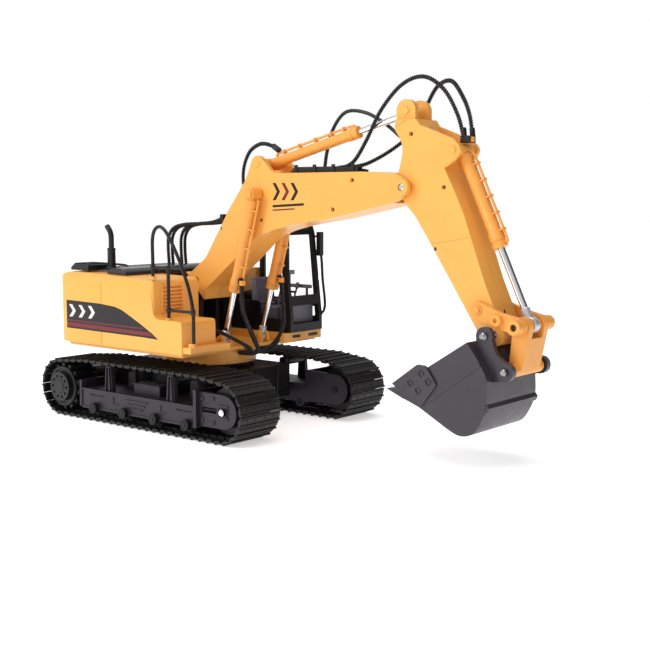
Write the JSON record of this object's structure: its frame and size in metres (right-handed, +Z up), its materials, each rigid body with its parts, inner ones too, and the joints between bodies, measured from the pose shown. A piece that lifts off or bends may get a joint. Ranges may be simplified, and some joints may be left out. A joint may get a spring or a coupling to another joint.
{
  "type": "radio-controlled toy excavator",
  "caption": "Crawler excavator model with slewing house, open cab, boom, stick and toothed bucket moved by dummy hydraulic cylinders.",
  "frame": {"origin": "centre of the bounding box's base: the ground under the tracks, midway between the tracks' rear and the bucket linkage's front end", "axes": "+X the machine's forward direction with the boom in line with the tracks, +Y to the machine's left (the cab side), +Z up"},
  "size_m": [0.4186, 0.17, 0.2617],
  "materials": {
    "yellow": "warm orange-yellow moulded plastic",
    "black": "black moulded plastic",
    "graphite": "dark purple-grey moulded plastic",
    "belt": "black track plastic",
    "hose": "black hose",
    "chrome": "bright plated",
    "grey": "grey moulded plastic",
    "board": "green laminate"
  },
  "bodies": {
    "undercarriage": {"chassis_frame": "black", "slew_ring": "black", "track_frame_right": "graphite", "track_belt_right": "belt", "drive_unit_right": "black", "track_frame_left": "graphite", "track_belt_left": "belt", "drive_unit_left": "black"},
    "house": {"house_shell": "yellow", "house_deck": "yellow", "boom_bracket": "black", "boom_foot_pin": "chrome", "cab_frame": "black", "cab_seat": "grey", "handrail": "black", "exhaust_stack": "black", "engine_hood": "black", "battery_pack": "graphite", "circuit_board": "board", "slew_motor": "grey", "rear_hoses": "hose", "lift_hose_right": "hose", "lift_hose_left": "hose"},
    "switch": {"power_switch": "black"},
    "boom": {"boom_shell_right": "yellow", "boom_shell_left": "yellow", "hose_tray": "black", "stick_pin": "chrome", "arm_hose": "hose", "stick_hoses": "hose"},
    "stick": {"stick_shell_right": "yellow", "stick_shell_left": "yellow", "bucket_pin": "chrome"},
    "bucket": {"bucket": "graphite"},
    "rocker": {"rocker": "yellow"},
    "link": {"bucket_link": "yellow"},
    "arm_barrel": {"arm_barrel": "yellow"},
    "arm_rod": {"arm_rod": "chrome"},
    "bucket_barrel": {"bucket_barrel": "yellow"},
    "bucket_rod": {"bucket_rod": "chrome"},
    "lift_barrel_right": {"lift_barrel_right": "yellow"},
    "lift_rod_right": {"lift_rod_right": "chrome"},
    "lift_barrel_left": {"lift_barrel_left": "yellow"},
    "lift_rod_left": {"lift_rod_left": "chrome"},
    "sprocket_right": {"sprocket_right": "black"},
    "idler_right": {"idler_right": "black"},
    "road_roller_right_1": {"road_roller_right_1": "black"},
    "road_roller_right_2": {"road_roller_right_2": "black"},
    "road_roller_right_3": {"road_roller_right_3": "black"},
    "road_roller_right_4": {"road_roller_right_4": "black"},
    "carrier_roller_right_1": {"carrier_roller_right_1": "black"},
    "carrier_roller_right_2": {"carrier_roller_right_2": "black"},
    "sprocket_left": {"sprocket_left": "black"},
    "idler_left": {"idler_left": "black"},
    "road_roller_left_1": {"road_roller_left_1": "black"},
    "road_roller_left_2": {"road_roller_left_2": "black"},
    "road_roller_left_3": {"road_roller_left_3": "black"},
    "road_roller_left_4": {"road_roller_left_4": "black"},
    "carrier_roller_left_1": {"carrier_roller_left_1": "black"},
    "carrier_roller_left_2": {"carrier_roller_left_2": "black"}
  },
  "joints": [
    {"name": "slew", "type": "hinge", "parent": "undercarriage", "child": "house", "pos_m": [-0.09642, 0, 0.0455], "axis": [0, 0, 1], "continuous": true},
    {"name": "power_switch_slide", "type": "slide", "parent": "house", "child": "switch", "axis": [1, 0, 0], "range_m": [0, 0.003]},
    {"name": "boom_lift", "type": "hinge", "parent": "house", "child": "boom", "pos_m": [-0.09392, 0, 0.112], "axis": [0, -1, 0], "range_deg": [-22, 18], "deforming": ["rear_hoses", "lift_hose_right", "lift_hose_left"]},
    {"name": "stick_swing", "type": "hinge", "parent": "boom", "child": "stick", "pos_m": [0.11058, 0, 0.1852], "axis": [0, -1, 0], "range_deg": [-25, 20], "deforming": ["stick_hoses", "arm_hose"]},
    {"name": "bucket_curl", "type": "hinge", "parent": "stick", "child": "bucket", "pos_m": [0.18228, 0, 0.0884], "axis": [0, -1, 0], "range_deg": [-22, 45], "deforming": ["stick_hoses"]},
    {"name": "lift_barrel_right_pivot", "type": "hinge", "parent": "boom", "child": "lift_barrel_right", "pos_m": [-0.02472, -0.0214, 0.1807], "axis": [0, -1, 0], "range_deg": [-5.5, 6.6]},
    {"name": "lift_rod_right_slide", "type": "slide", "parent": "lift_barrel_right", "child": "lift_rod_right", "axis": [-0.2769, 0, -0.9609], "range_m": [-0.019, 0.0156]},
    {"name": "lift_barrel_left_pivot", "type": "hinge", "parent": "boom", "child": "lift_barrel_left", "pos_m": [-0.02472, 0.0214, 0.1807], "axis": [0, -1, 0], "range_deg": [-5.5, 6.6]},
    {"name": "lift_rod_left_slide", "type": "slide", "parent": "lift_barrel_left", "child": "lift_rod_left", "axis": [-0.2769, 0, -0.9609], "range_m": [-0.019, 0.0156]},
    {"name": "arm_barrel_pivot", "type": "hinge", "parent": "boom", "child": "arm_barrel", "pos_m": [-0.02612, 0, 0.2033], "axis": [0, -1, 0], "range_deg": [-2.4, 2], "deforming": ["arm_hose"]},
    {"name": "arm_rod_slide", "type": "slide", "parent": "arm_barrel", "child": "arm_rod", "axis": [0.969, 0, 0.247], "range_m": [-0.018, 0.0224]},
    {"name": "bucket_barrel_pivot", "type": "hinge", "parent": "stick", "child": "bucket_barrel", "pos_m": [0.14858, 0, 0.21], "axis": [0, -1, 0], "range_deg": [-3, 5]},
    {"name": "bucket_rod_slide", "type": "slide", "parent": "bucket_barrel", "child": "bucket_rod", "axis": [0.4292, 0, -0.9032], "range_m": [-0.014, 0.0078]},
    {"name": "rocker_pivot", "type": "hinge", "parent": "stick", "child": "rocker", "pos_m": [0.17208, 0, 0.1044], "axis": [0, -1, 0], "range_deg": [-17, 31]},
    {"name": "link_pivot", "type": "hinge", "parent": "rocker", "child": "link", "pos_m": [0.20308, 0, 0.0953], "axis": [0, -1, 0], "range_deg": [-7, 4]},
    {"name": "sprocket_right_spin", "type": "hinge", "parent": "undercarriage", "child": "sprocket_right", "pos_m": [-0.18592, -0.065, 0.0235], "axis": [0, -1, 0], "continuous": true},
    {"name": "idler_right_spin", "type": "hinge", "parent": "undercarriage", "child": "idler_right", "pos_m": [-0.00192, -0.065, 0.0235], "axis": [0, -1, 0], "continuous": true},
    {"name": "road_roller_right_1_spin", "type": "hinge", "parent": "undercarriage", "child": "road_roller_right_1", "pos_m": [-0.14542, -0.065, 0.01], "axis": [0, -1, 0], "continuous": true},
    {"name": "road_roller_right_2_spin", "type": "hinge", "parent": "undercarriage", "child": "road_roller_right_2", "pos_m": [-0.11002, -0.065, 0.01], "axis": [0, -1, 0], "continuous": true},
    {"name": "road_roller_right_3_spin", "type": "hinge", "parent": "undercarriage", "child": "road_roller_right_3", "pos_m": [-0.07462, -0.065, 0.01], "axis": [0, -1, 0], "continuous": true},
    {"name": "road_roller_right_4_spin", "type": "hinge", "parent": "undercarriage", "child": "road_roller_right_4", "pos_m": [-0.03922, -0.065, 0.01], "axis": [0, -1, 0], "continuous": true},
    {"name": "carrier_roller_right_1_spin", "type": "hinge", "parent": "undercarriage", "child": "carrier_roller_right_1", "pos_m": [-0.13202, -0.065, 0.0416], "axis": [0, -1, 0], "continuous": true},
    {"name": "carrier_roller_right_2_spin", "type": "hinge", "parent": "undercarriage", "child": "carrier_roller_right_2", "pos_m": [-0.05982, -0.065, 0.0416], "axis": [0, -1, 0], "continuous": true},
    {"name": "sprocket_left_spin", "type": "hinge", "parent": "undercarriage", "child": "sprocket_left", "pos_m": [-0.18592, 0.065, 0.0235], "axis": [0, -1, 0], "continuous": true},
    {"name": "idler_left_spin", "type": "hinge", "parent": "undercarriage", "child": "idler_left", "pos_m": [-0.00192, 0.065, 0.0235], "axis": [0, -1, 0], "continuous": true},
    {"name": "road_roller_left_1_spin", "type": "hinge", "parent": "undercarriage", "child": "road_roller_left_1", "pos_m": [-0.14542, 0.065, 0.01], "axis": [0, -1, 0], "continuous": true},
    {"name": "road_roller_left_2_spin", "type": "hinge", "parent": "undercarriage", "child": "road_roller_left_2", "pos_m": [-0.11002, 0.065, 0.01], "axis": [0, -1, 0], "continuous": true},
    {"name": "road_roller_left_3_spin", "type": "hinge", "parent": "undercarriage", "child": "road_roller_left_3", "pos_m": [-0.07462, 0.065, 0.01], "axis": [0, -1, 0], "continuous": true},
    {"name": "road_roller_left_4_spin", "type": "hinge", "parent": "undercarriage", "child": "road_roller_left_4", "pos_m": [-0.03922, 0.065, 0.01], "axis": [0, -1, 0], "continuous": true},
    {"name": "carrier_roller_left_1_spin", "type": "hinge", "parent": "undercarriage", "child": "carrier_roller_left_1", "pos_m": [-0.13202, 0.065, 0.0416], "axis": [0, -1, 0], "continuous": true},
    {"name": "carrier_roller_left_2_spin", "type": "hinge", "parent": "undercarriage", "child": "carrier_roller_left_2", "pos_m": [-0.05982, 0.065, 0.0416], "axis": [0, -1, 0], "continuous": true}
  ],
  "couplings": [
    {"joint": "lift_barrel_right_pivot", "follows": "boom_lift", "ratio": -0.2842},
    {"joint": "lift_rod_right_slide", "follows": "boom_lift", "m_per_rad": 0.04819},
    {"joint": "lift_barrel_left_pivot", "follows": "boom_lift", "ratio": -0.2842},
    {"joint": "lift_rod_left_slide", "follows": "boom_lift", "m_per_rad": 0.04819},
    {"joint": "arm_barrel_pivot", "follows": "stick_swing", "ratio": 0.0878},
    {"joint": "arm_rod_slide", "follows": "stick_swing", "m_per_rad": -0.05013},
    {"joint": "bucket_barrel_pivot", "follows": "bucket_curl", "ratio": 0.0995},
    {"joint": "bucket_rod_slide", "follows": "bucket_curl", "m_per_rad": -0.016985},
    {"joint": "rocker_pivot", "follows": "bucket_curl", "ratio": 0.6569},
    {"joint": "link_pivot", "follows": "bucket_curl", "ratio": -0.1346},
    {"joint": "idler_right_spin", "follows": "sprocket_right_spin", "ratio": 1},
    {"joint": "road_roller_right_1_spin", "follows": "sprocket_right_spin", "ratio": 3.31},
    {"joint": "road_roller_right_2_spin", "follows": "sprocket_right_spin", "ratio": 3.31},
    {"joint": "road_roller_right_3_spin", "follows": "sprocket_right_spin", "ratio": 3.31},
    {"joint": "road_roller_right_4_spin", "follows": "sprocket_right_spin", "ratio": 3.31},
    {"joint": "carrier_roller_right_1_spin", "follows": "sprocket_right_spin", "ratio": 4.8},
    {"joint": "carrier_roller_right_2_spin", "follows": "sprocket_right_spin", "ratio": 4.8},
    {"joint": "idler_left_spin", "follows": "sprocket_left_spin", "ratio": 1},
    {"joint": "road_roller_left_1_spin", "follows": "sprocket_left_spin", "ratio": 3.31},
    {"joint": "road_roller_left_2_spin", "follows": "sprocket_left_spin", "ratio": 3.31},
    {"joint": "road_roller_left_3_spin", "follows": "sprocket_left_spin", "ratio": 3.31},
    {"joint": "road_roller_left_4_spin", "follows": "sprocket_left_spin", "ratio": 3.31},
    {"joint": "carrier_roller_left_1_spin", "follows": "sprocket_left_spin", "ratio": 4.8},
    {"joint": "carrier_roller_left_2_spin", "follows": "sprocket_left_spin", "ratio": 4.8}
  ]
}
